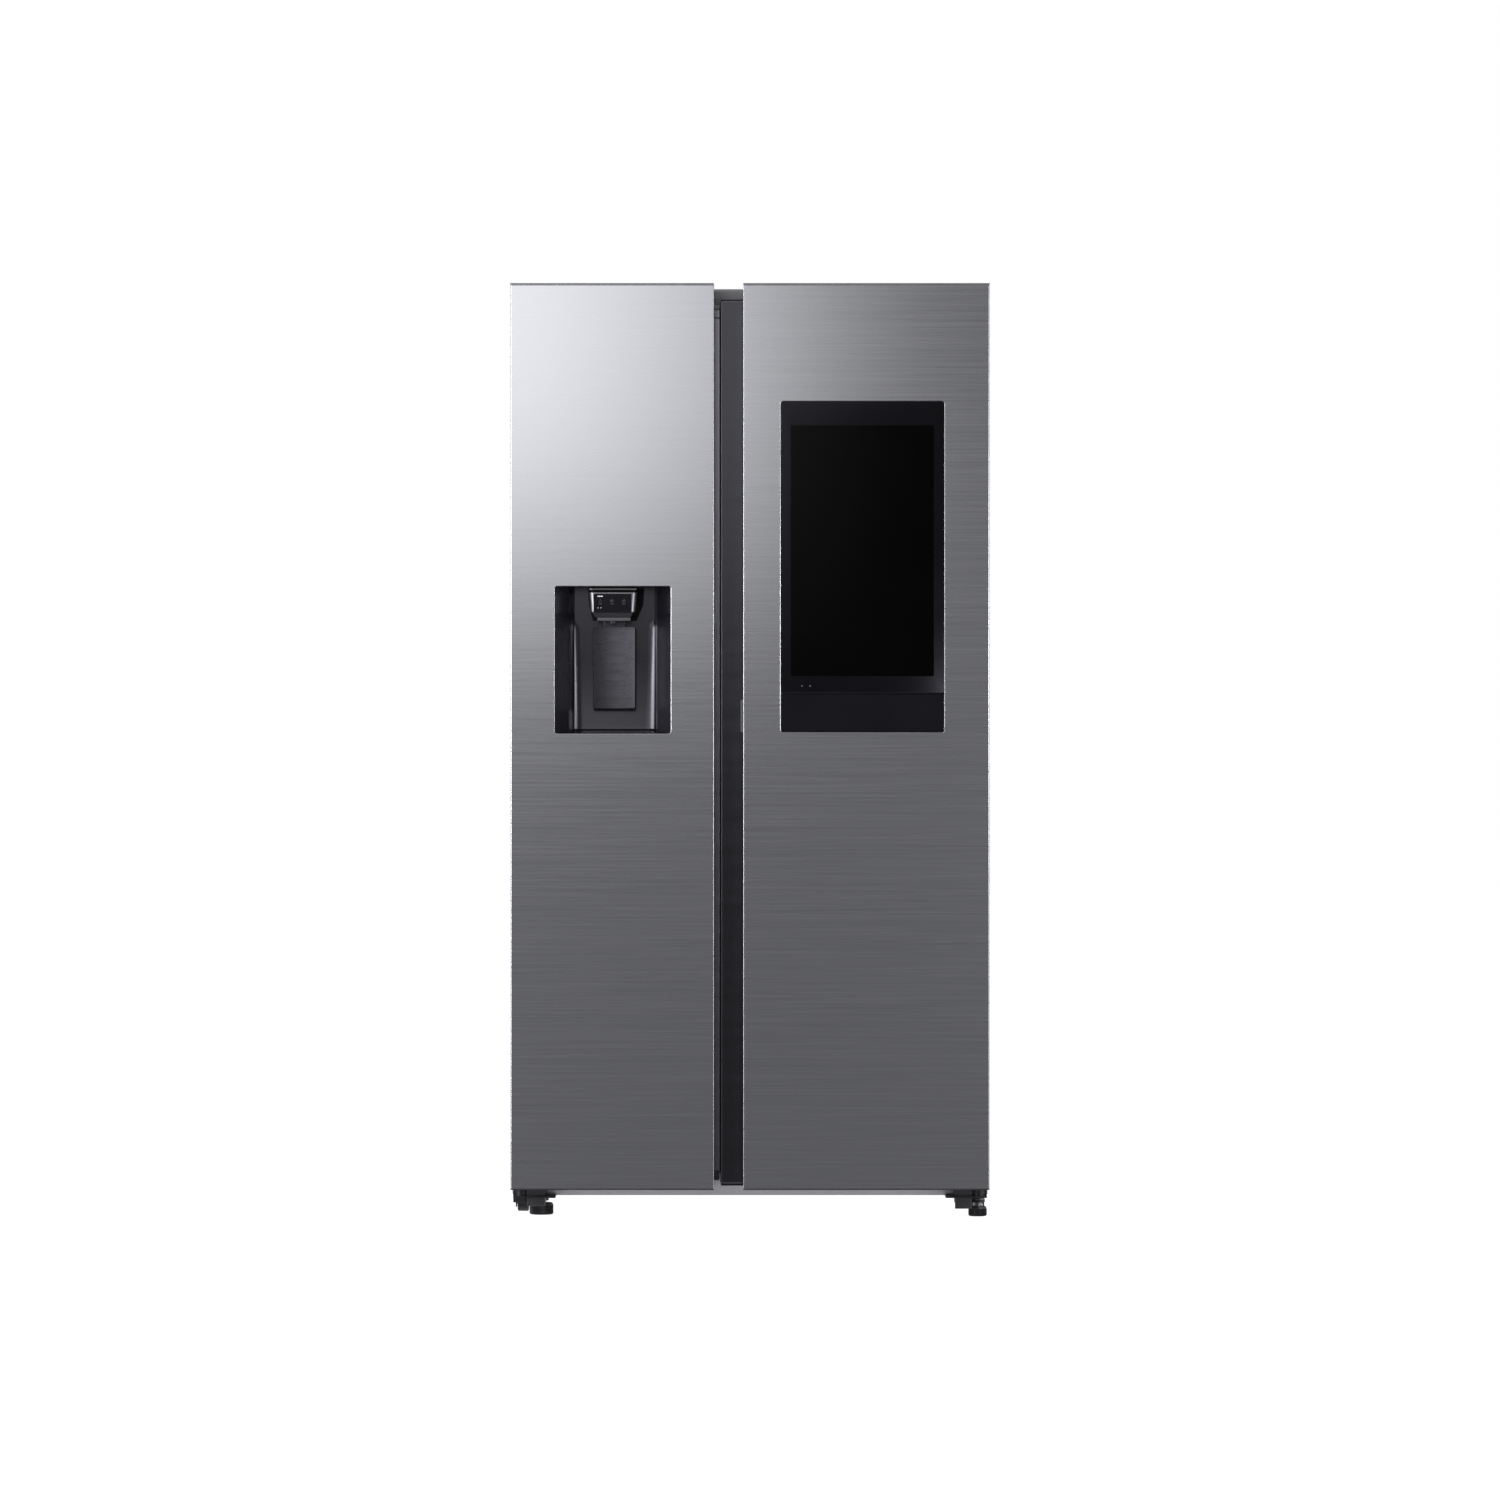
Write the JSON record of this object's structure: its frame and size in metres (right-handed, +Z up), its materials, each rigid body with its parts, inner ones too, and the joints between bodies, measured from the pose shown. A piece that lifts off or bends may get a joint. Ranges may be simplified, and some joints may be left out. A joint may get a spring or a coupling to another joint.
{
  "type": "side by side refrigerator",
  "caption": "Free-standing side by side refrigerator: narrow freezer door with a water and ice dispenser recess, wider fridge door with a tall touch display, recessed grips, levelling feet.",
  "frame": {"origin": "centre of the object's box at floor level, doors closed", "axes": "+Z up, +X to the right seen from the front, doors face -Y"},
  "size_m": [0.912, 0.716, 1.78],
  "materials": {
    "brushed_steel": "horizontally brushed, satin, fingerprint coating",
    "dark_steel": "dark anodised, horizontally brushed",
    "case_paint": "satin dark grey paint, fine texture",
    "frame_paint": "satin grey paint",
    "zinc_plate": "zinc-coated sheet",
    "foam": "rigid polyurethane foam, hidden",
    "white_plastic": "white, semi-gloss moulded liner",
    "grey_plastic": "dark grey, fine moulded grain",
    "black_plastic": "black, fine moulded grain",
    "black_gloss": "high-gloss black",
    "display_glass": "black printed cover glass, mirror-smooth",
    "gasket_rubber": "soft magnetic seal, matt",
    "clear_plastic": "clear moulded plastic",
    "shelf_glass": "tempered glass",
    "black_enamel": "black enamel",
    "condenser_coil": "black-painted steel tube",
    "evaporator_fins": "bare aluminium fins"
  },
  "bodies": {
    "cabinet": {"cabinet_shell": "case_paint", "cabinet_foam": "foam", "freezer_liner": "white_plastic", "fridge_liner": "white_plastic", "front_frame": "frame_paint", "base_plate": "zinc_plate", "rear_panel": "zinc_plate", "machine_cover": "case_paint", "cord_gland": "black_plastic", "top_cover": "case_paint", "upper_hinge_left": "zinc_plate", "upper_hinge_right": "zinc_plate", "lower_hinge_left": "black_plastic", "lower_hinge_right": "black_plastic", "compressor": "black_enamel", "condenser": "condenser_coil", "evaporator": "evaporator_fins", "evaporator_cover": "white_plastic", "freezer_shelf_lower": "shelf_glass", "freezer_shelf_upper": "shelf_glass", "fridge_shelf_lower": "shelf_glass", "fridge_shelf_upper": "shelf_glass", "crisper_cover": "shelf_glass", "ice_maker": "white_plastic"},
    "freezer_door": {"freezer_door_panel": "brushed_steel", "freezer_door_foam": "foam", "freezer_door_liner": "white_plastic", "freezer_door_gasket": "gasket_rubber", "freezer_door_top_cap": "grey_plastic", "freezer_door_bottom_cap": "grey_plastic", "freezer_door_handle": "dark_steel", "dispenser_housing": "black_gloss", "dispenser_head": "black_gloss", "freezer_bin_lower": "clear_plastic", "freezer_bin_upper": "clear_plastic"},
    "fridge_door": {"fridge_door_panel": "brushed_steel", "fridge_door_foam": "foam", "fridge_door_liner": "white_plastic", "fridge_door_gasket": "gasket_rubber", "fridge_door_top_cap": "grey_plastic", "fridge_door_bottom_cap": "grey_plastic", "fridge_door_handle": "dark_steel", "display_housing": "black_plastic", "display_glass": "display_glass", "speaker_grille": "black_plastic", "fridge_bin_lower": "clear_plastic", "fridge_bin_upper": "clear_plastic"},
    "dispenser_lever": {"dispenser_lever": "dark_steel"},
    "crisper_upper": {"crisper_upper": "clear_plastic"},
    "crisper_lower": {"crisper_lower": "clear_plastic"},
    "freezer_drawer_upper": {"freezer_drawer_upper": "clear_plastic"},
    "freezer_drawer_lower": {"freezer_drawer_lower": "clear_plastic"},
    "evaporator_fan": {"evaporator_fan": "grey_plastic"},
    "condenser_fan": {"condenser_fan": "grey_plastic"},
    "foot_left": {"foot_left": "black_plastic"},
    "foot_right": {"foot_right": "black_plastic"},
    "front_roller_left": {"front_roller_left": "black_plastic"},
    "front_roller_right": {"front_roller_right": "black_plastic"},
    "rear_roller_left": {"rear_roller_left": "black_plastic"},
    "rear_roller_right": {"rear_roller_right": "black_plastic"}
  },
  "joints": [
    {"name": "freezer_door_swing", "type": "hinge", "parent": "cabinet", "child": "freezer_door", "pos_m": [-0.438, -0.284, 0.9], "axis": [0, 0, -1], "range_deg": [0, 115]},
    {"name": "fridge_door_swing", "type": "hinge", "parent": "cabinet", "child": "fridge_door", "pos_m": [0.438, -0.284, 0.9], "axis": [0, 0, 1], "range_deg": [0, 115]},
    {"name": "dispenser_lever_press", "type": "hinge", "parent": "freezer_door", "child": "dispenser_lever", "pos_m": [-0.2601, -0.303, 1.147], "axis": [1, 0, 0], "range_deg": [0, 4], "stiffness_Nm_per_rad": 6},
    {"name": "crisper_upper_slide", "type": "slide", "parent": "cabinet", "child": "crisper_upper", "axis": [0, -1, 0], "range_m": [0, 0.09]},
    {"name": "crisper_lower_slide", "type": "slide", "parent": "cabinet", "child": "crisper_lower", "axis": [0, -1, 0], "range_m": [0, 0.09]},
    {"name": "freezer_drawer_upper_slide", "type": "slide", "parent": "cabinet", "child": "freezer_drawer_upper", "axis": [0, -1, 0], "range_m": [0, 0.09]},
    {"name": "freezer_drawer_lower_slide", "type": "slide", "parent": "cabinet", "child": "freezer_drawer_lower", "axis": [0, -1, 0], "range_m": [0, 0.09]},
    {"name": "evaporator_fan_spin", "type": "hinge", "parent": "cabinet", "child": "evaporator_fan", "pos_m": [-0.246, 0.268, 0.9], "axis": [0, 1, 0], "continuous": true},
    {"name": "condenser_fan_spin", "type": "hinge", "parent": "cabinet", "child": "condenser_fan", "pos_m": [-0.02, 0.235, 0.15], "axis": [1, 0, 0], "continuous": true},
    {"name": "foot_left_turn", "type": "hinge", "parent": "cabinet", "child": "foot_left", "pos_m": [-0.401, -0.222, 0.01], "axis": [0, 0, 1], "continuous": true},
    {"name": "foot_right_turn", "type": "hinge", "parent": "cabinet", "child": "foot_right", "pos_m": [0.436, -0.268, 0.01], "axis": [0, 0, 1], "continuous": true},
    {"name": "front_roller_left_roll", "type": "hinge", "parent": "cabinet", "child": "front_roller_left", "pos_m": [-0.438, -0.165, 0.0185], "axis": [1, 0, 0], "continuous": true},
    {"name": "front_roller_right_roll", "type": "hinge", "parent": "cabinet", "child": "front_roller_right", "pos_m": [0.438, -0.165, 0.0185], "axis": [1, 0, 0], "continuous": true},
    {"name": "rear_roller_left_roll", "type": "hinge", "parent": "cabinet", "child": "rear_roller_left", "pos_m": [-0.405, 0.3, 0.02], "axis": [1, 0, 0], "continuous": true},
    {"name": "rear_roller_right_roll", "type": "hinge", "parent": "cabinet", "child": "rear_roller_right", "pos_m": [0.405, 0.3, 0.02], "axis": [1, 0, 0], "continuous": true}
  ]
}
